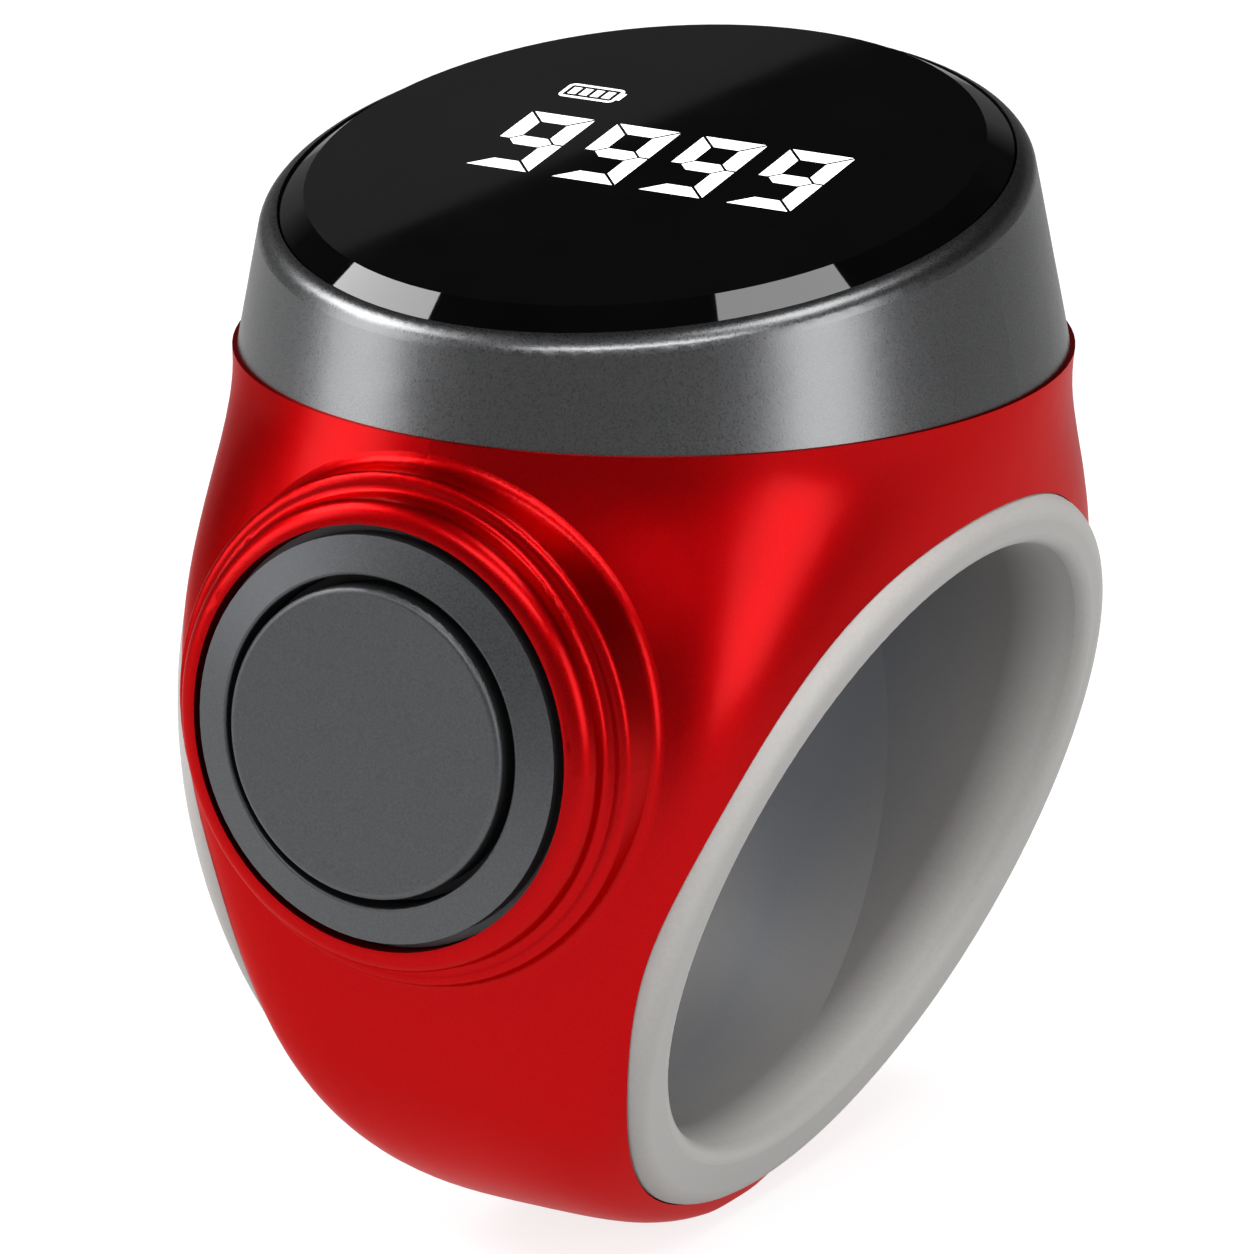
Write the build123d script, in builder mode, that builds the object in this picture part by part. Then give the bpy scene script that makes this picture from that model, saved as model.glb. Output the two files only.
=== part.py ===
from build123d import *
from math import atan, cos, radians, sin, sqrt
import os

os.makedirs("parts", exist_ok=True)

# Digital tasbih counter worn as a finger ring: a press button on its side, a lit counter on top.
# Millimetres and degrees. X runs along the finger, the button faces -Y, Z is up.
# The origin is the centre of the finger bore.

# Finger bore and silicone liner
bore_radius = 9.25
bore_land = 6.0
mouth_flare_width = 1.4
mouth_flare_height = 0.1
mouth_lift = 0.38
liner_side_wall = 2.1
liner_top_wall = 1.1
liner_fit = 0.03
lip_overlap_width = 0.75
lip_overlap_height = 0.72
lip_thickness = 1.1
lip_outer_round = 0.6
lip_inner_round = 0.45

# Sloping ends of the body, each with a flat seat for the liner's lip
end_foot = 2.9
end_swell = 1.5
swell_power = 1.25
seat_sink = 0.38

# Red body: a circle at the seam, a fuller belly lower down, a rounded bottom
body_shift = 0.37
seam_radius = 12.25
bezel_inset = 0.15
belly_wall = 2.5
belly_height = 2.0
bottom_wall = 1.85
flare_power = 2.4
crown_power = 2.05
lower_swell = 24.6
front_power = 5.0
back_power = 3.8
upper_sections = 6
lower_step = 10

# Bay for the electronics under the seam
body_wall = 1.85
bay_floor_wall = 1.25
bay_depth = 2.55
spigot_wall = 0.5
spigot_depth = 1.8
spigot_fit = 0.03
gasket_inset = 0.8
gasket_width = 0.4
gasket_depth = 0.4

# Tilted display face
face_tilt = 10.5
face_rise = 5.45
face_shift = -0.52
glass_inset = 1.6
glass_thickness = 1.5
bevel_width = 0.75
bevel_drop = 0.5
glass_gap = 0.08
adhesive_thickness = 0.15
adhesive_inset = 0.1
ledge_width = 1.05
ledge_thickness = 0.9
bezel_rim = 0.45
bezel_drop = 0.45
bezel_round = 0.75

# Lit digits and battery sign
digit_count = 4
digit_pitch = 2.9
digit_width = 2.14
digit_height = 3.9
digit_stroke = 0.6
digit_gap = 0.09
digit_centre = (0.43, 0.1)
sign_centre = (-4.0, 3.75)
sign_length = 1.9
sign_height = 0.95
sign_stroke = 0.12
sign_round = 0.2
sign_bars = 4
mark_depth = 0.12

# Display stack under the glass
film_thickness = 0.2
housing_thickness = 1.8
housing_margin = 0.5
board_inset = 0.4
board_thickness = 0.8
led_size = 0.4
led_height = 0.3
chip_height = 0.75
chip_size = 3.0
chip_pitch = 4.0
chip_inset = 3.3
connector_length = 3.6
connector_width = 1.2
connector_height = 0.8
connector_inset = 2.4

# Frame, screws and battery in the bay
frame_gap = 0.4
frame_wall = 1.5
pad_radius = 1.5
pad_thickness = 1.0
screw_inset = 1.1
screw_angle = 54.0
screw_radius = 0.5
screw_clearance = 0.1
screw_length = 2.0
screw_head_radius = 1.0
screw_head_height = 0.5
battery_end_gap = 2.5
battery_side_gap = 0.29
battery_height = 2.4
battery_pad_height = 0.25
battery_round = 0.8
lead_radius = 0.25
lead_spacing = 4.0
lead_inset = 0.8

# Button in its boss; heights are along the button's own axis, zero at the boss face
boss_stand = 1.91
button_lean = 3.65
boss_wall = 0.68
boss_round = 0.6
boss_foot_round = 0.28
shoulder_side = 0.65
shoulder_crown = 0.6
shoulder_gap = 0.58
shoulder_stand = 0.76
shoulder_spread = 0.7
shoulder_round = 0.27
shoulder_foot_round = 0.48
trim_width = 1.37
trim_fit = 0.03
trim_groove = 0.27
trim_groove_depth = 0.55
trim_depth = 1.6
trim_proud = 0.1
trim_crown = 0.45
trim_round = 0.08
cap_radius = 4.47
cap_gap = 0.28
cap_proud = 0.7
cap_round = 0.18
flange_width = 0.7
flange_thickness = 0.7
flange_gap = 0.1
stop_gap = 0.05
travel = 0.5
overtravel = 0.2
cap_roof = 1.05
cap_wall = 0.97
stem_radius = 0.9
seal_drop = 0.45
seal_width = 0.5
seal_depth = 0.25
seal_clearance = 0.05

# Switch behind the button
plunger_gap = 0.05
plunger_radius = 0.8
plunger_clearance = 0.05
plunger_grip = 0.35
switch_size = 3.6
switch_height = 1.1
switch_floor = 0.1
terminal_size = 0.4
terminal_height = 0.2
terminal_pitch = 2.2
switch_board_width = 4.4
switch_board_low = 2.2
switch_board_high = 4.0
switch_board_thickness = 0.6
switch_pocket_gap = 0.1

# Flexible strips and the slots that they run in
flex_thickness = 0.12
flex_bend = 0.5
switch_flex_width = 2.4
charge_flex_width = 2.8
flex_slot_gap = 0.4
column_inset = 0.8
flex_run = 1.5
flex_turn = 0.4
slot_inner_gap = 0.5
slot_outer_gap = 1.0
slot_rise = 0.3
switch_slot_depth = 2.6
charge_turn = 9.0

# Charging point on the back
plate_length = 7.4
plate_height = 3.6
plate_round = 0.8
plate_thickness = 1.0
plate_level = 6.2
plate_sink = 0.75
plate_fit = 0.03
contact_radius = 0.65
contact_pitch = 2.2
contact_length = 1.6
contact_proud = 0.1
magnet_radius = 0.8
magnet_pitch = 5.6
magnet_thickness = 1.0
magnet_fit = 0.03
charge_cavity_height = 2.4
charge_cavity_depth = 0.75
charge_slot_gap = 0.2

# Worked-out sizes
tunnel_half_width = bore_radius + liner_side_wall
tunnel_half_height = bore_radius + liner_top_wall
belly_half_width = tunnel_half_width + belly_wall
body_span = 2 * belly_half_width
bottom_depth = tunnel_half_height + bottom_wall
bottom_height = -bottom_depth
bay_floor = tunnel_half_height + bay_floor_wall
seam_height = bay_floor + bay_depth
face_height = seam_height + face_rise
bay_radius = seam_radius - body_wall
body_height = seam_height + bottom_depth
end_run = seam_radius - end_foot
end_reach = seam_radius - end_run * seam_height / body_height - seat_sink
slope = atan(end_run / body_height)
mouth_half_width = bore_radius + mouth_flare_width
mouth_half_height = bore_radius / cos(slope) + mouth_flare_height
lip_half_width = tunnel_half_width + lip_overlap_width
lip_half_height = tunnel_half_height / cos(slope) + lip_overlap_height
gasket_radius = seam_radius - gasket_inset
glass_radius = seam_radius - glass_inset
ledge_radius = glass_radius - ledge_width
spigot_radius = bay_radius + spigot_wall
seat_depth = glass_thickness + adhesive_thickness
ledge_bottom = seat_depth + ledge_thickness
housing_top = glass_thickness + film_thickness
board_top = housing_top + housing_thickness
board_bottom = board_top + board_thickness
board_radius = ledge_radius - board_inset
connector_reach = board_radius - connector_inset
chip_row = connector_reach - chip_inset
frame_radius = bay_radius - frame_gap
frame_bore = frame_radius - frame_wall
screw_circle = frame_bore - screw_inset
battery_length = 2 * (frame_bore - battery_end_gap)
battery_width = 2 * (screw_circle * sin(radians(screw_angle)) - pad_radius - battery_side_gap)
lead_row = battery_width / 2 - lead_inset
pad_top = bay_floor + pad_thickness
battery_base = bay_floor + battery_pad_height
battery_top = battery_base + battery_height
trim_inner_radius = cap_radius + cap_gap
trim_hole_radius = trim_inner_radius + trim_width
boss_radius = trim_hole_radius + boss_wall
shoulder_length = boss_radius + shoulder_side
shoulder_width = boss_radius + shoulder_crown
shoulder_drop = boss_stand - shoulder_stand
button_height = seam_height - shoulder_width - shoulder_gap
cap_hollow_radius = cap_radius - cap_wall
flange_radius = cap_radius + flange_width
flange_bore = flange_radius + flange_gap
shelf_level = -trim_depth + flange_thickness / 2 + flange_gap
flange_top = shelf_level - stop_gap
flange_bottom = flange_top - flange_thickness
stop_level = flange_bottom - travel - overtravel
cap_ceiling = cap_proud - cap_roof
switch_top = stop_level + switch_height / 2
switch_bottom = switch_top - switch_height
plunger_top = switch_top + travel
stem_bottom = plunger_top + plunger_gap
board_face = switch_bottom
switch_pocket_floor = board_face - switch_board_thickness
strip_middle = board_face + flex_thickness / 2
flex_column = bay_radius - column_inset
slot_inner = flex_column - slot_inner_gap
slot_top = bay_floor + slot_rise
switch_slot_width = switch_flex_width + 2 * flex_slot_gap
charge_slot_width = charge_flex_width + 2 * flex_slot_gap
connector_middle = board_bottom + connector_height / 2
connector_edge = connector_reach + connector_width / 2


def fullness(power):
    """Handle length of a quarter curve that follows a superellipse of the given power."""
    return (8 * 0.5 ** (1 / power) - 4) / 3


def body_section(height):
    """Half length, half width, front and back corner fullness of the red body at a height."""
    depth = (seam_height - height) / body_height
    bow = depth**swell_power
    half_length = seam_radius - end_run * depth + 4 * end_swell * bow * (1 - bow)
    if height >= belly_height:
        fall = (seam_height - height) / (seam_height - belly_height)
        swell = 1 - (1 - fall) ** flare_power
        half_width = seam_radius + (belly_half_width - seam_radius) * swell
        corner = fall * fall * (3 - 2 * fall)
        front = fullness(2 + (front_power - 2) * corner)
        rear = fullness(2 + (back_power - 2) * corner)
    else:
        drop = (belly_height - height) / (belly_height - bottom_height)
        half_width = belly_half_width * (1 - drop**crown_power) ** (1 / crown_power)
        half_width += lower_swell * drop**3 * (1 - drop) ** 2
        front = fullness(front_power)
        rear = fullness(back_power)
    return half_length, half_width, front, rear


lean_rise = shoulder_width * sin(radians(button_lean))
boss_base = max(
    body_section(button_height + shoulder_width)[1] + lean_rise,
    body_section(button_height - shoulder_width)[1] - lean_rise,
)
boss_reach = boss_base + boss_stand
shoulder_depth = boss_reach - bore_radius
plate_face = body_section(plate_level)[1] - plate_sink

# Reference planes
end_planes = []
for side in (1, -1):
    normal = (side * cos(slope), 0, -sin(slope))
    end_planes.append(Plane(origin=(side * end_reach, 0, 0), x_dir=(0, side, 0), z_dir=normal))
tilt = radians(face_tilt)
lean = radians(button_lean)
face_origin = (0, body_shift + face_shift, face_height)
face = Plane(origin=face_origin, x_dir=(1, 0, 0), z_dir=(0, -sin(tilt), cos(tilt)))
button_origin = (0, body_shift - boss_reach, button_height)
button = Plane(origin=button_origin, x_dir=(1, 0, 0), z_dir=(0, -cos(lean), sin(lean)))
middle = Plane(origin=(0, body_shift, 0), x_dir=(0, 1, 0), z_dir=(1, 0, 0))


def deck(height):
    """Level plane on the body's middle at a height."""
    return Plane(origin=(0, body_shift, height))


def section_plane(plane):
    """Plane through a plane's normal, with the radius along X and the height along Y."""
    return Plane(origin=plane.origin, x_dir=plane.x_dir, z_dir=plane.x_dir.cross(plane.z_dir))


def spin_axis(plane):
    """Axis along a plane's normal."""
    return Axis(plane.origin, plane.z_dir)


back = Plane(origin=(0, body_shift + plate_face, plate_level), x_dir=(-1, 0, 0), z_dir=(0, 1, 0))


def face_point(up, depth):
    """Point on the middle plane, given along the tilted face and below it."""
    point = middle.to_local_coords(face.from_local_coords((0, up, -depth)))
    return (point.X, point.Y)


def button_point(up, height):
    """Point on the middle plane, given in the button's own plane."""
    point = middle.to_local_coords(button.from_local_coords((0, up, height)))
    return (point.X, point.Y)


# Where the switch's strip turns up, the charging strip's line, and the slots round them
switch_turn = button_point(switch_board_high + flex_turn, strip_middle)
slot_outer = slot_outer_gap - switch_turn[0]
charge_line = plate_face + contact_proud - contact_length - flex_thickness / 2
charge_slot_outer = charge_line + charge_slot_gap


def mitred_digit():
    """Outlines of the bars of a seven-bar nine about its own centre."""
    w = digit_width / 2
    h = digit_height / 2
    t = digit_stroke
    cut = digit_gap / sqrt(2)
    half_gap = digit_gap / 2
    top = [(cut - w, h), (w - cut, h), (w - t - cut, h - t), (t + cut - w, h - t)]
    upright = [
        (w, h - cut),
        (w, half_gap),
        (w - t / 2, half_gap),
        (w - t, t / 2 + half_gap),
        (w - t, h - t - cut),
    ]
    middle = [
        (w - t / 2 - cut, 0),
        (w - t - cut, t / 2),
        (t + cut - w, t / 2),
        (t / 2 + cut - w, 0),
        (t + cut - w, -t / 2),
        (w - t - cut, -t / 2),
    ]
    bottom = [(x, -y) for x, y in top]
    lower_right = [(x, -y) for x, y in upright]
    upper_left = [(-x, y) for x, y in upright]
    return [top, upright, lower_right, bottom, upper_left, middle]


digit_places = []
for index in range(digit_count):
    digit_x = digit_centre[0] + (index - (digit_count - 1) / 2) * digit_pitch
    digit_places.append((digit_x, digit_centre[1]))

# Flat shapes of the lit marks, on the display face
with BuildSketch() as digit_marks:
    with Locations(*digit_places):
        for outline in mitred_digit():
            Polygon(*outline, align=None)

with BuildSketch() as sign_mark:
    inner_length = sign_length - 2 * sign_stroke
    inner_height = sign_height - 2 * sign_stroke
    bar_pitch = (inner_length - sign_stroke) / sign_bars
    with Locations(sign_centre):
        RectangleRounded(sign_length, sign_height, sign_round)
        RectangleRounded(inner_length, inner_height, sign_round - sign_stroke, mode=Mode.SUBTRACT)
        with Locations((sign_length / 2 + sign_stroke / 2, 0)):
            Rectangle(sign_stroke, sign_height / 2)
        with GridLocations(bar_pitch, 0, sign_bars, 1):
            Rectangle(bar_pitch - sign_stroke, inner_height - 2 * sign_stroke)

# Places of the frame's screws
screw_places = []
for angle in (screw_angle, 180 - screw_angle, 180 + screw_angle, -screw_angle):
    screw_places.append((screw_circle * cos(radians(angle)), screw_circle * sin(radians(angle))))

# Boss round the button, and the wider shoulder that it stands on
with BuildPart() as shoulder:
    with BuildSketch(button.offset(-shoulder_depth)):
        Ellipse(shoulder_length + shoulder_spread, shoulder_width)
    with BuildSketch(button.offset(-shoulder_drop)):
        Ellipse(shoulder_length, shoulder_width)
    loft()
    fillet(shoulder.edges().sort_by(spin_axis(button))[-1], radius=shoulder_round)

with BuildPart() as boss:
    with BuildSketch(button.offset(-shoulder_depth)):
        Circle(boss_radius)
    extrude(amount=shoulder_depth)
    fillet(boss.edges().sort_by(spin_axis(button))[-1], radius=boss_round)

# Red body: smooth outside, with a flat seat on each sloping end
section_heights = []
for step in range(upper_sections):
    section_heights.append(seam_height - (seam_height - belly_height) * step / upper_sections)
for angle in range(0, 90, lower_step):
    section_heights.append(belly_height - (belly_height - bottom_height) * sin(radians(angle)))

compass = [(1, 0), (0, 1), (-1, 0), (0, -1), (1, 0)]
with BuildPart() as body_shell:
    for height in section_heights:
        half_length, half_width, front, rear = body_section(height)
        with BuildSketch(deck(height)):
            with BuildLine():
                for (sx, sy), (ex, ey) in zip(compass, compass[1:]):
                    handle = front if sy + ey < 0 else rear
                    Bezier(
                        (sx * half_length, sy * half_width),
                        ((sx + handle * ex) * half_length, (sy + handle * ey) * half_width),
                        ((ex + handle * sx) * half_length, (ey + handle * sy) * half_width),
                        (ex * half_length, ey * half_width),
                    )
            make_face()
    loft()
    # Boss on its shoulder, each with a soft foot
    add(shoulder.part)
    fillet(body_shell.edges(Select.NEW), radius=shoulder_foot_round)
    add(boss.part)
    fillet(body_shell.edges(Select.NEW), radius=boss_foot_round)
    # Tunnel and lip seats for the liner
    with BuildSketch(Plane.YZ):
        Ellipse(tunnel_half_width, tunnel_half_height)
    extrude(amount=body_span, both=True, mode=Mode.SUBTRACT)
    for plane in end_planes:
        with BuildSketch(plane):
            Ellipse(lip_half_width + liner_fit, lip_half_height + liner_fit)
        extrude(amount=2 * lip_thickness, mode=Mode.SUBTRACT)
    # Bay, spigot seat and gasket groove
    with BuildSketch(deck(bay_floor)):
        Circle(bay_radius)
    extrude(amount=seam_height - bay_floor, mode=Mode.SUBTRACT)
    with BuildSketch(deck(seam_height - spigot_depth - spigot_fit)):
        Circle(spigot_radius + spigot_fit)
    extrude(amount=spigot_depth + spigot_fit, mode=Mode.SUBTRACT)
    with BuildSketch(deck(seam_height - gasket_depth)):
        Circle(gasket_radius + gasket_width / 2)
        Circle(gasket_radius - gasket_width / 2, mode=Mode.SUBTRACT)
    extrude(amount=gasket_depth, mode=Mode.SUBTRACT)
    # Screw holes in the bay floor
    with BuildSketch(deck(bay_floor)):
        with Locations(*screw_places):
            Circle(screw_radius)
    extrude(amount=-screw_length, mode=Mode.SUBTRACT)
    # Button seat and switch pocket
    with BuildSketch(button.offset(-trim_depth)):
        Circle(trim_hole_radius)
    extrude(amount=2 * trim_depth, mode=Mode.SUBTRACT)
    with BuildSketch(button.offset(stop_level)):
        Circle(flange_bore)
    extrude(amount=-stop_level, mode=Mode.SUBTRACT)
    with BuildSketch(button.offset(switch_pocket_floor)):
        with Locations((0, (switch_board_high - switch_board_low) / 2)):
            Rectangle(
                switch_board_width + 2 * switch_pocket_gap,
                switch_board_high + switch_board_low + 2 * switch_pocket_gap,
            )
    extrude(amount=-switch_pocket_floor, mode=Mode.SUBTRACT)
    # Slots that lead the flexible strips up into the bay
    with BuildSketch(deck(slot_top)):
        with Locations((0, -(slot_inner + slot_outer) / 2)):
            Rectangle(switch_slot_width, slot_outer - slot_inner)
    extrude(amount=-slot_rise - switch_slot_depth, mode=Mode.SUBTRACT)
    with BuildSketch(deck(slot_top)):
        with Locations((0, (slot_inner + charge_slot_outer) / 2)):
            Rectangle(charge_slot_width, charge_slot_outer - slot_inner)
    extrude(amount=plate_level - slot_top, mode=Mode.SUBTRACT)
    # Charging well with its plate seat, contact cavity and magnet pockets
    with BuildSketch(back.offset(-plate_thickness)):
        RectangleRounded(plate_length + 2 * plate_fit, plate_height + 2 * plate_fit, plate_round)
    extrude(amount=plate_thickness + 2 * plate_sink, mode=Mode.SUBTRACT)
    with BuildSketch(back.offset(-plate_thickness)):
        Rectangle(charge_slot_width, charge_cavity_height)
    extrude(amount=-charge_cavity_depth, mode=Mode.SUBTRACT)
    with BuildSketch(back.offset(-plate_thickness)):
        with GridLocations(magnet_pitch, 0, 2, 1):
            Circle(magnet_radius + magnet_fit)
    extrude(amount=-magnet_thickness, mode=Mode.SUBTRACT)
body_shell.part.label = "body_shell"
export_step(body_shell.part, "parts/body_shell.step")

# Silicone liner: an oval tube with a rounded lip at each end and a round bore
with BuildPart() as finger_liner:
    with BuildSketch(Plane.YZ):
        Ellipse(tunnel_half_width - liner_fit, tunnel_half_height - liner_fit)
    extrude(amount=body_span, both=True)
    for plane in end_planes:
        split(bisect_by=plane, keep=Keep.BOTTOM)
    for plane in end_planes:
        with BuildSketch(plane):
            Ellipse(lip_half_width, lip_half_height)
        extrude(amount=lip_thickness)
        fillet(finger_liner.edges().sort_by(spin_axis(plane))[-1], radius=lip_outer_round)
    with BuildSketch(Plane.YZ):
        Circle(bore_radius)
    extrude(amount=body_span, both=True, mode=Mode.SUBTRACT)
    for plane in end_planes:
        with BuildSketch(Plane.YZ.offset(bore_land / 2 if plane.origin.X > 0 else -bore_land / 2)):
            Circle(bore_radius)
        with BuildSketch(plane.offset(lip_thickness)):
            with Locations((0, mouth_lift)):
                Ellipse(mouth_half_width, mouth_half_height)
        loft(mode=Mode.SUBTRACT)
        lip_top = finger_liner.edges().group_by(spin_axis(plane))[-1]
        fillet(lip_top.sort_by(SortBy.LENGTH)[0], radius=lip_inner_round)
finger_liner.part.label = "finger_liner"
export_step(finger_liner.part, "parts/finger_liner.step")

# Bezel ring: from the round seam to the tilted face, with a ledge for the glass
with BuildPart() as bezel_ring:
    with BuildSketch(deck(seam_height)):
        Circle(seam_radius - bezel_inset)
    with BuildSketch(face.offset(-bezel_drop)):
        Circle(glass_radius + glass_gap + bezel_rim)
    loft()
    fillet(bezel_ring.edges().sort_by(spin_axis(face))[-1], radius=bezel_round)
    with BuildSketch(face.offset(-seat_depth)):
        Circle(glass_radius + glass_gap)
    extrude(amount=seat_depth, mode=Mode.SUBTRACT)
    with BuildSketch(face.offset(-ledge_bottom)):
        Circle(ledge_radius)
    extrude(amount=ledge_bottom, mode=Mode.SUBTRACT)
    with BuildSketch(deck(seam_height)):
        Circle(bay_radius)
    with BuildSketch(face.offset(-ledge_bottom)):
        Circle(bay_radius - adhesive_inset)
    loft(mode=Mode.SUBTRACT)
    with BuildSketch(deck(seam_height - spigot_depth)):
        Circle(spigot_radius)
        Circle(bay_radius, mode=Mode.SUBTRACT)
    extrude(amount=spigot_depth)
bezel_ring.part.label = "bezel_ring"
export_step(bezel_ring.part, "parts/bezel_ring.step")

# Black glass with a bevelled edge and shallow seats for the lit marks
with BuildPart() as display_glass:
    with BuildSketch(section_plane(face)):
        with BuildLine():
            Polyline(
                (0, 0),
                (glass_radius - bevel_width, 0),
                (glass_radius, -bevel_drop),
                (glass_radius, -glass_thickness),
                (0, -glass_thickness),
                close=True,
            )
        make_face()
    revolve(axis=spin_axis(face))
    with BuildSketch(face):
        add(digit_marks.sketch)
        add(sign_mark.sketch)
    extrude(amount=-mark_depth, mode=Mode.SUBTRACT)
display_glass.part.label = "display_glass"
export_step(display_glass.part, "parts/display_glass.step")

# Lit digits and battery sign, flush with the glass
with BuildPart() as display_segments:
    with BuildSketch(face):
        add(digit_marks.sketch)
        add(sign_mark.sketch)
    extrude(amount=-mark_depth)
display_segments.part.label = "display_segments"
export_step(display_segments.part, "parts/display_segments.step")

# Tape ring between the glass and the ledge
with BuildPart() as glass_adhesive:
    with BuildSketch(face.offset(-seat_depth)):
        Circle(glass_radius - adhesive_inset)
        Circle(ledge_radius, mode=Mode.SUBTRACT)
    extrude(amount=adhesive_thickness)
glass_adhesive.part.label = "glass_adhesive"
export_step(glass_adhesive.part, "parts/glass_adhesive.step")

# Footprint of the lit area, shared by the film and the housing
digits_half_length = (digit_count - 1) * digit_pitch / 2 + digit_width / 2 + housing_margin
lit_low = digit_centre[1] - digit_height / 2 - housing_margin
lit_high = sign_centre[1] + sign_height / 2 + housing_margin
lit_centre = (digit_centre[0], (lit_low + lit_high) / 2)

with BuildPart() as diffuser_film:
    with BuildSketch(face.offset(-housing_top)):
        with Locations(lit_centre):
            Rectangle(2 * digits_half_length, lit_high - lit_low)
    extrude(amount=film_thickness)
diffuser_film.part.label = "diffuser_film"
export_step(diffuser_film.part, "parts/diffuser_film.step")

# Housing with one light well for each bar of the digits and one for the sign
with BuildPart() as segment_housing:
    with BuildSketch(face.offset(-board_top)):
        with Locations(lit_centre):
            Rectangle(2 * digits_half_length, lit_high - lit_low)
        add(digit_marks.sketch, mode=Mode.SUBTRACT)
        with Locations(sign_centre):
            Rectangle(sign_length, sign_height, mode=Mode.SUBTRACT)
    extrude(amount=housing_thickness)
segment_housing.part.label = "segment_housing"
export_step(segment_housing.part, "parts/segment_housing.step")

# Light chips, one in each well
led_places = [mark.center() for mark in digit_marks.sketch.faces()]
led_places.append(Vector(*sign_centre))
with BuildPart() as led_chips:
    with BuildSketch(face.offset(-board_top)):
        with Locations(*led_places):
            Rectangle(led_size, led_size)
    extrude(amount=led_height)
led_chips.part.label = "led_chips"
export_step(led_chips.part, "parts/led_chips.step")

# Round board under the housing
with BuildPart() as display_board:
    with BuildSketch(face.offset(-board_bottom)):
        Circle(board_radius)
    extrude(amount=board_thickness)
display_board.part.label = "display_board"
export_step(display_board.part, "parts/display_board.step")

# Chips and strip connectors under the board
with BuildPart() as control_chips:
    with BuildSketch(face.offset(-board_bottom)):
        with Locations((0, chip_row)):
            with GridLocations(chip_pitch, 0, 2, 1):
                Rectangle(chip_size, chip_size)
    extrude(amount=-chip_height)
control_chips.part.label = "control_chips"
export_step(control_chips.part, "parts/control_chips.step")

with BuildPart() as flex_connectors:
    with BuildSketch(face.offset(-board_bottom)):
        with GridLocations(0, 2 * connector_reach, 1, 2):
            Rectangle(connector_length, connector_width)
    extrude(amount=-connector_height)
flex_connectors.part.label = "flex_connectors"
export_step(flex_connectors.part, "parts/flex_connectors.step")

# Frame that carries the board, screwed to the bay floor
with BuildPart() as inner_frame:
    with BuildSketch(deck(bay_floor)):
        Circle(frame_radius)
        Circle(frame_bore, mode=Mode.SUBTRACT)
    extrude(amount=face_height - bay_floor)
    split(bisect_by=face.offset(-board_bottom), keep=Keep.BOTTOM)
    with BuildSketch(deck(bay_floor)):
        with Locations(*screw_places):
            Circle(pad_radius)
    extrude(amount=pad_thickness)
    with BuildSketch(deck(bay_floor)):
        with Locations(*screw_places):
            Circle(screw_radius + screw_clearance)
    extrude(amount=pad_thickness, mode=Mode.SUBTRACT)
    # Notches for the strips: the outer half all the way down, the inner half above the pads
    for base, reach in ((bay_floor, slot_inner), (pad_top, frame_bore - frame_gap)):
        with BuildSketch(deck(base)):
            with Locations((0, -reach)):
                Rectangle(switch_slot_width, frame_radius, align=(Align.CENTER, Align.MAX))
            with Locations((0, reach)):
                Rectangle(charge_slot_width, frame_radius, align=(Align.CENTER, Align.MIN))
        extrude(amount=face_height - base, mode=Mode.SUBTRACT)
inner_frame.part.label = "inner_frame"
export_step(inner_frame.part, "parts/inner_frame.step")

# Screws through the frame's pads
with BuildPart() as frame_screws:
    with BuildSketch(deck(bay_floor - screw_length)):
        with Locations(*screw_places):
            Circle(screw_radius)
    extrude(amount=screw_length + pad_thickness)
    with BuildSketch(deck(pad_top)):
        with Locations(*screw_places):
            Circle(screw_head_radius)
    extrude(amount=screw_head_height)
frame_screws.part.label = "frame_screws"
export_step(frame_screws.part, "parts/frame_screws.step")

# Battery on its foam pad, with two leads up to the board
with BuildPart() as battery_pad:
    with BuildSketch(deck(bay_floor)):
        Rectangle(battery_length, battery_width)
    extrude(amount=battery_pad_height)
battery_pad.part.label = "battery_pad"
export_step(battery_pad.part, "parts/battery_pad.step")

with BuildPart() as battery:
    with BuildSketch(deck(battery_base)):
        RectangleRounded(battery_length, battery_width, battery_round)
    extrude(amount=battery_height)
battery.part.label = "battery"
export_step(battery.part, "parts/battery.step")

with BuildPart() as battery_leads:
    with BuildSketch(deck(battery_top)):
        with Locations((0, -lead_row)):
            with GridLocations(lead_spacing, 0, 2, 1):
                Circle(lead_radius)
    extrude(amount=face_height - battery_top)
    split(bisect_by=face.offset(-board_bottom), keep=Keep.BOTTOM)
battery_leads.part.label = "battery_leads"
export_step(battery_leads.part, "parts/battery_leads.step")

# Gasket in the seam
with BuildPart() as seam_gasket:
    with BuildSketch(deck(seam_height - gasket_depth)):
        Circle(gasket_radius + gasket_width / 2)
        Circle(gasket_radius - gasket_width / 2, mode=Mode.SUBTRACT)
    extrude(amount=gasket_depth)
seam_gasket.part.label = "seam_gasket"
export_step(seam_gasket.part, "parts/seam_gasket.step")

# Trim ring pressed into the boss, rising towards the cap; its shelf holds the cap in
with BuildPart() as button_trim_ring:
    with BuildSketch(section_plane(button)):
        with BuildLine():
            Polyline(
                (trim_inner_radius, trim_crown),
                (trim_hole_radius - trim_groove, trim_proud),
                (trim_hole_radius - trim_groove, -trim_groove_depth),
                (trim_hole_radius - trim_fit, -trim_groove_depth),
                (trim_hole_radius - trim_fit, -trim_depth),
                (flange_bore, -trim_depth),
                (flange_bore, shelf_level),
                (trim_inner_radius, shelf_level),
                close=True,
            )
        make_face()
    revolve(axis=spin_axis(button))
    fillet(button_trim_ring.edges().sort_by(spin_axis(button))[-2:], radius=trim_round)
button_trim_ring.part.label = "button_trim_ring"
export_step(button_trim_ring.part, "parts/button_trim_ring.step")

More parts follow.
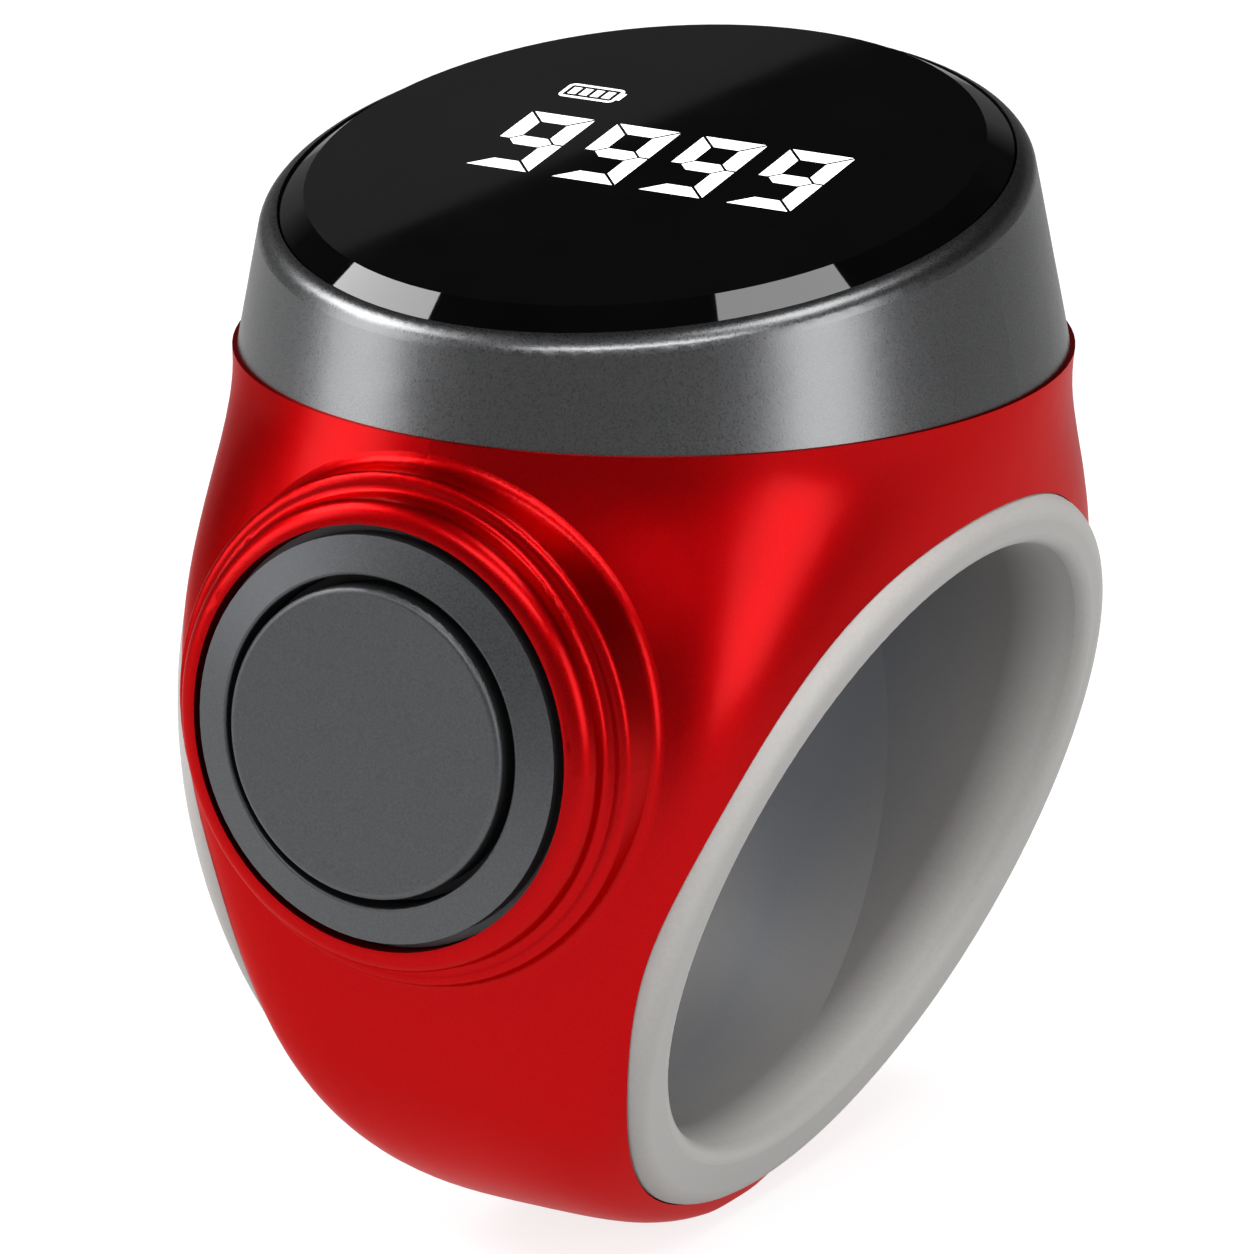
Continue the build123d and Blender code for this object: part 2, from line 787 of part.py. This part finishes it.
# Push button: a hollow cap with a flange, a seal groove and a stem for the switch
seal_top = -seal_drop
seal_bottom = seal_top - seal_width
with BuildPart() as button_cap:
    with BuildSketch(section_plane(button)):
        with BuildLine():
            Polyline(
                (0, cap_proud),
                (cap_radius, cap_proud),
                (cap_radius, seal_top),
                (cap_radius - seal_depth, seal_top),
                (cap_radius - seal_depth, seal_bottom),
                (cap_radius, seal_bottom),
                (cap_radius, flange_top),
                (flange_radius, flange_top),
                (flange_radius, flange_bottom),
                (cap_hollow_radius, flange_bottom),
                (cap_hollow_radius, cap_ceiling),
                (stem_radius, cap_ceiling),
                (stem_radius, stem_bottom),
                (0, stem_bottom),
                close=True,
            )
        make_face()
    revolve(axis=spin_axis(button))
    fillet(button_cap.edges().sort_by(spin_axis(button))[-1], radius=cap_round)
button_cap.part.label = "button_cap"
export_step(button_cap.part, "parts/button_cap.step")

with BuildPart() as button_seal:
    with BuildSketch(button.offset(seal_bottom)):
        Circle(trim_inner_radius - seal_clearance)
        Circle(cap_radius - seal_depth, mode=Mode.SUBTRACT)
    extrude(amount=seal_width)
button_seal.part.label = "button_seal"
export_step(button_seal.part, "parts/button_seal.step")

# Tactile switch on its own small board
with BuildPart() as switch_body:
    with BuildSketch(button.offset(switch_bottom)):
        Rectangle(switch_size, switch_size)
    extrude(amount=switch_height)
    with BuildSketch(button.offset(switch_bottom + switch_floor)):
        Circle(plunger_radius + plunger_clearance)
    extrude(amount=switch_height, mode=Mode.SUBTRACT)
switch_body.part.label = "switch_body"
export_step(switch_body.part, "parts/switch_body.step")

with BuildPart() as switch_plunger:
    with BuildSketch(button.offset(switch_top - plunger_grip)):
        Circle(plunger_radius)
    extrude(amount=plunger_grip + travel)
switch_plunger.part.label = "switch_plunger"
export_step(switch_plunger.part, "parts/switch_plunger.step")

with BuildPart() as switch_terminals:
    with BuildSketch(button.offset(switch_bottom)):
        with GridLocations(switch_size + terminal_size, terminal_pitch, 2, 2):
            Rectangle(terminal_size, terminal_size)
    extrude(amount=terminal_height)
switch_terminals.part.label = "switch_terminals"
export_step(switch_terminals.part, "parts/switch_terminals.step")

with BuildPart() as switch_board:
    with BuildSketch(button.offset(switch_pocket_floor)):
        with Locations((0, (switch_board_high - switch_board_low) / 2)):
            Rectangle(switch_board_width, switch_board_high + switch_board_low)
    extrude(amount=switch_board_thickness)
switch_board.part.label = "switch_board"
export_step(switch_board.part, "parts/switch_board.step")

# Charging plate with its contacts and magnets
with BuildPart() as contact_plate:
    with BuildSketch(back.offset(-plate_thickness)):
        RectangleRounded(plate_length, plate_height, plate_round)
        with GridLocations(contact_pitch, 0, 2, 1):
            Circle(contact_radius, mode=Mode.SUBTRACT)
    extrude(amount=plate_thickness)
contact_plate.part.label = "contact_plate"
export_step(contact_plate.part, "parts/contact_plate.step")

with BuildPart() as charge_contacts:
    with BuildSketch(back.offset(contact_proud)):
        with GridLocations(contact_pitch, 0, 2, 1):
            Circle(contact_radius)
    extrude(amount=-contact_length)
charge_contacts.part.label = "charge_contacts"
export_step(charge_contacts.part, "parts/charge_contacts.step")

with BuildPart() as charge_magnets:
    with BuildSketch(back.offset(-plate_thickness)):
        with GridLocations(magnet_pitch, 0, 2, 1):
            Circle(magnet_radius)
    extrude(amount=-magnet_thickness)
charge_magnets.part.label = "charge_magnets"
export_step(charge_magnets.part, "parts/charge_magnets.step")


def column_point(side):
    """Point on the middle plane where a strip's upright run meets its run to the connector."""
    up = (side * flex_column - face_shift - connector_middle * sin(tilt)) / cos(tilt)
    return face_point(up, connector_middle)


# Strip from the switch board up to the front connector
switch_route = [
    button_point(switch_board_high - flex_run, strip_middle),
    switch_turn,
    (-flex_column, slot_top),
    column_point(-1),
    face_point(-connector_edge, connector_middle),
]
with BuildPart() as switch_flex:
    with BuildSketch(middle):
        with BuildLine():
            FilletPolyline(*switch_route, radius=flex_bend)
        trace(line_width=flex_thickness)
    extrude(amount=switch_flex_width / 2, both=True)
switch_flex.part.label = "switch_flex"
export_step(switch_flex.part, "parts/switch_flex.step")

# Strip from the charging contacts up to the back connector
charge_route = [
    (charge_line, plate_level - contact_radius),
    (charge_line, charge_turn),
    (flex_column, bay_floor - slot_rise),
    column_point(1),
    face_point(connector_edge, connector_middle),
]
with BuildPart() as charge_flex:
    with BuildSketch(middle):
        with BuildLine():
            FilletPolyline(*charge_route, radius=flex_bend)
        trace(line_width=flex_thickness)
    extrude(amount=charge_flex_width / 2, both=True)
charge_flex.part.label = "charge_flex"
export_step(charge_flex.part, "parts/charge_flex.step")
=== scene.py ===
from math import cos, radians, sin

import bpy
from mathutils import Matrix, Vector


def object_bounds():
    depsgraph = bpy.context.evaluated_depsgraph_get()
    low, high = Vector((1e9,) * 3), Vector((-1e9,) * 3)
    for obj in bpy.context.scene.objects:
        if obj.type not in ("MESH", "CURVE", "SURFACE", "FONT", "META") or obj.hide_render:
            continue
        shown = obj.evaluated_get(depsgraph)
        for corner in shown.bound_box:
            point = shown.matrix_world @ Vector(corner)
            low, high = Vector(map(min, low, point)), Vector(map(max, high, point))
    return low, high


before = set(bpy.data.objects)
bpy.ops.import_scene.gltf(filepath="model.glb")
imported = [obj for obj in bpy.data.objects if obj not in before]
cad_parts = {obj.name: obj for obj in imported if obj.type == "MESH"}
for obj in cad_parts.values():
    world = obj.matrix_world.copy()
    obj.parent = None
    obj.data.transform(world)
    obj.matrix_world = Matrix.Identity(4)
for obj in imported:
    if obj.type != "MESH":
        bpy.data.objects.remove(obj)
cad_low, cad_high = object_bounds()

MM = 0.001
WHITE = (1, 1, 1, 1)
scene = bpy.context.scene
scene.view_settings.view_transform = "Standard"


def heading(azimuth, elevation):
    """Unit vector towards a point round the object, in degrees; azimuth 0 is in front of the button."""
    a = radians(azimuth)
    e = radians(elevation)
    return Vector((sin(a) * cos(e), -cos(a) * cos(e), sin(e)))


# Camera at the photograph's viewing angle
VIEW_AZIMUTH = 30.867
VIEW_ELEVATION = 17.68
CAMERA_PLACE = (0.12049, -0.20273, 0.08060)
camera_data = bpy.data.cameras.new("camera")
camera_data.lens = 242.05
camera_data.sensor_width = 36
camera_data.clip_start = 0.01
camera_data.clip_end = 10
camera = bpy.data.objects.new("camera", camera_data)
camera.location = CAMERA_PLACE
camera.rotation_euler = (radians(90 - VIEW_ELEVATION), 0, radians(VIEW_AZIMUTH))
scene.collection.objects.link(camera)
scene.camera = camera


# Node helpers
def add_node(tree, kind, links=None, values=None, **settings):
    """Adds a shader node, sets its choices and values, and links its inputs."""
    node = tree.nodes.new(kind)
    for key, value in settings.items():
        setattr(node, key, value)
    for key, value in (values or {}).items():
        node.inputs[key].default_value = value
    for key, source in (links or {}).items():
        tree.links.new(source, node.inputs[key])
    return node


def compute(tree, operation, first, second):
    """Result of arithmetic on two node outputs."""
    return add_node(tree, "ShaderNodeMath", {0: first, 1: second}, operation=operation).outputs[0]


def remap(tree, value, source, target):
    """Value carried from one range to another, kept inside the second."""
    limits = {"From Min": source[0], "From Max": source[1], "To Min": target[0], "To Max": target[1]}
    return add_node(tree, "ShaderNodeMapRange", {"Value": value}, limits).outputs["Result"]


def ramp(tree, factor, stops):
    """Colour ramp through (position, colour) stops."""
    node = add_node(tree, "ShaderNodeValToRGB", {"Fac": factor})
    elements = node.color_ramp.elements
    while len(elements) < len(stops):
        elements.new(1.0)
    for element, (position, colour) in zip(elements, stops):
        element.position = position
        element.color = (*colour, 1)
    return node.outputs["Color"]


def object_place(tree):
    """Place in the object's own space."""
    return add_node(tree, "ShaderNodeTexCoord").outputs["Object"]


# The middle stretch of a noise, where most of its values lie
NOISE_LOW = 0.3
NOISE_HIGH = 0.7
NOISE_SPAN = (NOISE_LOW, NOISE_HIGH)


def grain(tree, size_mm):
    """Noise of a given size in the object's own space, from 0 to 1."""
    values = {"Scale": 1 / (size_mm * MM), "Detail": 2.0}
    return add_node(tree, "ShaderNodeTexNoise", {"Vector": object_place(tree)}, values).outputs["Fac"]


def mottle(tree, fleck, dark, light):
    """Colour that runs from dark to light with a noise."""
    return ramp(tree, fleck, ((NOISE_LOW, dark), (NOISE_HIGH, light)))


def roughen(tree, shader, fleck, bump_mm):
    """Raises the surface with a noise."""
    values = {"Distance": bump_mm * MM, "Strength": 1.0}
    bump = add_node(tree, "ShaderNodeBump", {"Height": fleck}, values)
    tree.links.new(bump.outputs["Normal"], shader.inputs["Normal"])


def new_material(name):
    """Material with its node tree and its shader."""
    material = bpy.data.materials.new(name)
    material.use_nodes = True
    return material, material.node_tree, material.node_tree.nodes["Principled BSDF"]


def set_sockets(shader, sockets):
    """Sets plain values on a shader."""
    for key, value in sockets.items():
        shader.inputs[key].default_value = value


def finish(name, dark, light, rough, size_mm, bump_mm=0.0, sockets=None):
    """Material whose colour, roughness and surface vary with one fine grain."""
    material, tree, shader = new_material(name)
    fleck = grain(tree, size_mm)
    tree.links.new(mottle(tree, fleck, dark, light), shader.inputs["Base Color"])
    tree.links.new(remap(tree, fleck, NOISE_SPAN, rough), shader.inputs["Roughness"])
    if bump_mm:
        roughen(tree, shader, fleck, bump_mm)
    set_sockets(shader, sockets or {})
    return material


def grey(value):
    """Neutral colour."""
    return (value, value, value)


METAL = {"Metallic": 1.0}
GLASS = {"IOR": 1.5}
CANDY_COAT = {
    "Metallic": 1.0,
    "Specular Tint": (1.0, 0.35, 0.35, 1),
    "Coat Weight": 0.10,
    "Coat Roughness": 0.20,
}

# Each row: name, darkest and lightest colour, roughness, grain in mm, bump in mm, other values
finish_rows = [
    ("red_shell", (0.40, 0.0006, 0.0015), (0.48, 0.0012, 0.003), (0.35, 0.41), 0.05, 0.0015, CANDY_COAT),
    ("bezel_metal", (0.16, 0.162, 0.166), (0.205, 0.207, 0.212), (0.26, 0.33), 0.06, 0.002, METAL),
    ("button_metal", (0.088, 0.091, 0.096), (0.118, 0.121, 0.127), (0.42, 0.5), 0.06, 0.002, METAL),
    ("black_glass", grey(0.0008), grey(0.0014), (0.02, 0.03), 3.0, 0.0, GLASS),
    ("seal_rubber", grey(0.010), grey(0.020), (0.6, 0.7), 0.2, 0.004),
    ("tape", (0.010, 0.010, 0.011), (0.020, 0.020, 0.021), (0.5, 0.6), 0.2),
    ("white_film", (0.72, 0.72, 0.70), (0.80, 0.80, 0.78), (0.4, 0.5), 0.4),
    ("black_plastic", (0.012, 0.012, 0.013), (0.022, 0.022, 0.023), (0.45, 0.55), 0.15, 0.002),
    ("light_chip", (0.75, 0.62, 0.22), (0.85, 0.74, 0.34), (0.3, 0.4), 0.1),
    ("circuit_board", (0.008, 0.060, 0.030), (0.012, 0.085, 0.045), (0.3, 0.4), 0.3),
    ("ivory_plastic", (0.62, 0.58, 0.48), (0.68, 0.64, 0.54), (0.4, 0.5), 0.2),
    ("steel", (0.42, 0.42, 0.43), (0.52, 0.52, 0.53), (0.22, 0.30), 0.1, 0.0, METAL),
    ("cell_skin", (0.45, 0.45, 0.46), (0.55, 0.55, 0.56), (0.3, 0.4), 0.5, 0.003, METAL),
    ("foam", grey(0.05), grey(0.10), (0.85, 0.95), 0.15, 0.02),
    ("copper", (0.62, 0.27, 0.15), (0.72, 0.34, 0.20), (0.25, 0.35), 0.1, 0.0, METAL),
    ("strip", (0.42, 0.19, 0.04), (0.50, 0.24, 0.06), (0.3, 0.4), 0.3),
    ("gold", (0.78, 0.53, 0.20), (0.86, 0.62, 0.27), (0.18, 0.26), 0.1, 0.0, METAL),
    ("magnet", (0.46, 0.46, 0.45), (0.56, 0.56, 0.55), (0.15, 0.25), 0.1, 0.0, METAL),
]

# Silicone: the rim of the mouth lies at this reach from the middle, and leans with the height; painted shade
# darkens the liner inward from that rim
MOUTH_REACH = 6.85 * MM
MOUTH_LEAN = 0.355
PAINTED_SHADE_START = -0.5 * MM
PAINTED_SHADE_END = 5.0 * MM
# Pale silicone at the rim, then painted shade that darkens and cools the bore further in
SILICONE_PAINTED_SHADE_TONES = ((0.0, (0.50, 0.487, 0.47)), (0.3, (0.175, 0.166, 0.160)), (1.0, (0.115, 0.121, 0.135)))
SILICONE_GRAIN_MM = 0.15
SILICONE_BUMP_MM = 0.002
SILICONE_ROUGH = (0.42, 0.52)
SILICONE_MOTTLE = 0.94
SILICONE_SOFTNESS = {
    "Subsurface Weight": 0.15,
    "Subsurface Radius": (0.001, 0.0009, 0.0008),
}


def silicone():
    """Pale satin liner, with painted shade that makes it darker and cooler deep inside the bore."""
    material, tree, shader = new_material("silicone")
    place = add_node(tree, "ShaderNodeSeparateXYZ", {"Vector": object_place(tree)})
    reach = add_node(tree, "ShaderNodeMath", {0: place.outputs["X"]}, operation="ABSOLUTE").outputs[0]
    lean = {1: MOUTH_LEAN, 2: MOUTH_REACH}
    rim = add_node(tree, "ShaderNodeMath", {0: place.outputs["Z"]}, lean, operation="MULTIPLY_ADD")
    inward = compute(tree, "SUBTRACT", rim.outputs[0], reach)
    # painted shade: the colour darkens the deeper a point lies inside the rim of the mouth
    painted_shade_tone = ramp(tree, remap(tree, inward, (PAINTED_SHADE_START, PAINTED_SHADE_END), (0.0, 1.0)), SILICONE_PAINTED_SHADE_TONES)
    fleck = grain(tree, SILICONE_GRAIN_MM)
    faint = mottle(tree, fleck, grey(SILICONE_MOTTLE), grey(1.0))
    mixed = add_node(
        tree, "ShaderNodeMix", {6: painted_shade_tone, 7: faint}, {0: 1.0}, data_type="RGBA", blend_type="MULTIPLY"
    )
    tree.links.new(mixed.outputs[2], shader.inputs["Base Color"])
    tree.links.new(remap(tree, fleck, NOISE_SPAN, SILICONE_ROUGH), shader.inputs["Roughness"])
    roughen(tree, shader, fleck, SILICONE_BUMP_MM)
    set_sockets(shader, SILICONE_SOFTNESS)
    return material


# Lit marks
MARK_GRAIN_MM = 0.3
COOL_WHITE = (0.96, 0.98, 1.0)
MARK_SURFACE = {"Emission Strength": 1.0, "Base Color": (0.8, 0.8, 0.8, 1), "Roughness": 0.3}


def lit_marks():
    """White marks that glow evenly, with a faint mottle."""
    material, tree, shader = new_material("lit_marks")
    glow = mottle(tree, grain(tree, MARK_GRAIN_MM), COOL_WHITE, grey(1.0))
    tree.links.new(glow, shader.inputs["Emission Color"])
    set_sockets(shader, MARK_SURFACE)
    return material


materials = {row[0]: finish(*row) for row in finish_rows}
materials["silicone"] = silicone()
materials["lit_marks"] = lit_marks()

finishes = {
    "red_shell": ["body_shell"],
    "bezel_metal": ["bezel_ring"],
    "button_metal": ["button_trim_ring", "button_cap"],
    "black_glass": ["display_glass"],
    "lit_marks": ["display_segments"],
    "silicone": ["finger_liner"],
    "tape": ["glass_adhesive"],
    "white_film": ["diffuser_film"],
    "black_plastic": ["segment_housing", "inner_frame", "control_chips", "contact_plate", "switch_body"],
    "light_chip": ["led_chips"],
    "circuit_board": ["display_board", "switch_board"],
    "ivory_plastic": ["flex_connectors", "switch_plunger"],
    "steel": ["frame_screws", "switch_terminals"],
    "cell_skin": ["battery"],
    "foam": ["battery_pad"],
    "copper": ["battery_leads"],
    "seal_rubber": ["seam_gasket", "button_seal"],
    "strip": ["switch_flex", "charge_flex"],
    "gold": ["charge_contacts"],
    "magnet": ["charge_magnets"],
}
for name, nodes in finishes.items():
    for node in nodes:
        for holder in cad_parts[node].material_slots:
            holder.material = materials[name]


# Stage pieces
def flat_sheet(name, half_length, half_width, height):
    """Level four-sided sheet for the stage, at a height in its own space."""
    mesh = bpy.data.meshes.new(name)
    signs = ((-1, -1), (1, -1), (1, 1), (-1, 1))
    corners = [(sx * half_length, sy * half_width, height) for sx, sy in signs]
    mesh.from_pydata(corners, [], [(0, 1, 2, 3)])
    sheet = bpy.data.objects.new(name, mesh)
    scene.collection.objects.link(sheet)
    return sheet


def bare_tree(owner):
    """Node tree of a material or world, emptied."""
    owner.use_nodes = True
    owner.node_tree.nodes.clear()
    return owner.node_tree


# Pale floor under the object, white to the camera and in reflections, with a soft shadow
FLOOR_HALF = 1.2
FLOOR_COLOUR = (0.30, 0.30, 0.30, 1)
FLOOR_GLOW = 0.8
POOL_REACH = (0.06, 0.14)
POOL_GLOW = (0.70, 0.1)
floor = flat_sheet("floor", FLOOR_HALF, FLOOR_HALF, cad_low.z)


def floor_finish():
    """Matte floor that glows for the rays that look at it, in reflections only near the object."""
    material = bpy.data.materials.new("floor")
    tree = bare_tree(material)
    path = add_node(tree, "ShaderNodeLightPath").outputs
    mirrored = compute(tree, "MAXIMUM", path["Is Glossy Ray"], path["Is Transmission Ray"])
    seen = compute(tree, "MAXIMUM", path["Is Camera Ray"], mirrored)
    matte = add_node(tree, "ShaderNodeBsdfDiffuse", values={"Color": FLOOR_COLOUR}).outputs[0]
    away = add_node(tree, "ShaderNodeVectorMath", {0: object_place(tree)}, operation="LENGTH")
    # painted light: reflections see a glowing pool round the object, fading further out
    pool = remap(tree, away.outputs["Value"], POOL_REACH, POOL_GLOW)
    strength = add_node(tree, "ShaderNodeMix", {0: path["Is Camera Ray"], 2: pool}, {3: FLOOR_GLOW})
    glow_links = {"Strength": strength.outputs[0]}
    glow = add_node(tree, "ShaderNodeEmission", glow_links, {"Color": WHITE}).outputs[0]
    bright = add_node(tree, "ShaderNodeAddShader", {0: matte, 1: glow}).outputs[0]
    mix = add_node(tree, "ShaderNodeMixShader", {0: seen, 1: matte, 2: bright}).outputs[0]
    add_node(tree, "ShaderNodeOutputMaterial", {"Surface": mix})
    return material


floor.data.materials.append(floor_finish())

# World: white to the camera, an even fill for the object and a dim room in reflections
ROOM_TURN = (-0.2, 0.5)
ROOM_GLOW = (0.18, 0.15)
ROOM_LEVEL = (0.25, 0.4)
ROOM_FADE = (1.0, 0.12)
FILL_STRENGTH = 0.5


def background(tree, strength):
    """White light from the world, with a plain strength."""
    return add_node(tree, "ShaderNodeBackground", values={"Color": WHITE, "Strength": strength}).outputs[0]


def studio_world():
    """World whose reflections fade above the level of the object."""
    world = bpy.data.worlds.new("studio")
    tree = bare_tree(world)
    toward = add_node(tree, "ShaderNodeTexCoord").outputs["Generated"]
    far_side = heading(VIEW_AZIMUTH + 180, 0)
    facing = add_node(tree, "ShaderNodeVectorMath", {0: toward}, {1: far_side}, operation="DOT_PRODUCT")
    behind = remap(tree, facing.outputs["Value"], ROOM_TURN, ROOM_GLOW)
    level = add_node(tree, "ShaderNodeSeparateXYZ", {"Vector": toward}).outputs["Z"]
    room = compute(tree, "MULTIPLY", behind, remap(tree, level, ROOM_LEVEL, ROOM_FADE))
    mirror = add_node(tree, "ShaderNodeBackground", {"Strength": room}, {"Color": WHITE}).outputs[0]
    path = add_node(tree, "ShaderNodeLightPath").outputs
    mirrored = compute(tree, "MAXIMUM", path["Is Glossy Ray"], path["Is Transmission Ray"])
    lit = add_node(tree, "ShaderNodeMixShader", {0: mirrored, 1: background(tree, FILL_STRENGTH), 2: mirror})
    shown = {0: path["Is Camera Ray"], 1: lit.outputs[0], 2: background(tree, 1.0)}
    surface = add_node(tree, "ShaderNodeMixShader", shown).outputs[0]
    add_node(tree, "ShaderNodeOutputWorld", {"Surface": surface})
    return world


scene.world = studio_world()

# Soft boxes
MIDDLE = (cad_low + cad_high) / 2
BOX_DISTANCE = 0.6


def softbox(name, azimuth, elevation, width, height, watts):
    """Rectangular lamp that faces the object."""
    data = bpy.data.lights.new(name, "AREA")
    data.shape = "RECTANGLE"
    data.size = width
    data.size_y = height
    data.energy = watts
    lamp = bpy.data.objects.new(name, data)
    direction = heading(azimuth, elevation)
    lamp.location = MIDDLE + direction * BOX_DISTANCE
    lamp.rotation_euler = direction.to_track_quat("Z", "Y").to_euler()
    lamp.visible_camera = False
    scene.collection.objects.link(lamp)


softbox("left_box", -58, 10, 0.30, 0.50, 1.6)
softbox("left_high_box", -76, 42, 0.30, 0.22, 1.7)
softbox("front_high_box", 20, 48, 0.50, 0.12, 1.5)
softbox("right_box", 78, 14, 0.28, 0.45, 1.4)
softbox("top_box", 95, 72, 0.22, 0.22, 0.9)

# Dim card behind the object, whose upper edge draws a slanting line on the glass
CARD_AZIMUTH = -144
CARD_ELEVATION = 32.2
CARD_HALF_LENGTH = 0.07
CARD_HALF_HEIGHT = 0.02
CARD_DISTANCE = 0.5
CARD_ROLL = 10.4
CARD_AIM = Vector((0, 0, 0.0044))
CARD_SHIFT = Vector((0.0036, -0.0103, 0))
CARD_GLOW = 0.12
card = flat_sheet("dim_card", CARD_HALF_LENGTH, CARD_HALF_HEIGHT, 0)
card_direction = heading(CARD_AZIMUTH, CARD_ELEVATION)
card_turn = card_direction.to_track_quat("Z", "Y").to_matrix() @ Matrix.Rotation(radians(CARD_ROLL), 3, "Z")
card.location = CARD_AIM + card_direction * CARD_DISTANCE + card_turn @ CARD_SHIFT
card.rotation_euler = card_turn.to_euler()
card.visible_camera = False
card.visible_diffuse = False
card.visible_shadow = False


def card_finish():
    """Even dim glow."""
    material = bpy.data.materials.new("dim_card")
    tree = bare_tree(material)
    glow = add_node(tree, "ShaderNodeEmission", values={"Color": WHITE, "Strength": CARD_GLOW}).outputs[0]
    add_node(tree, "ShaderNodeOutputMaterial", {"Surface": glow})
    return material


card.data.materials.append(card_finish())
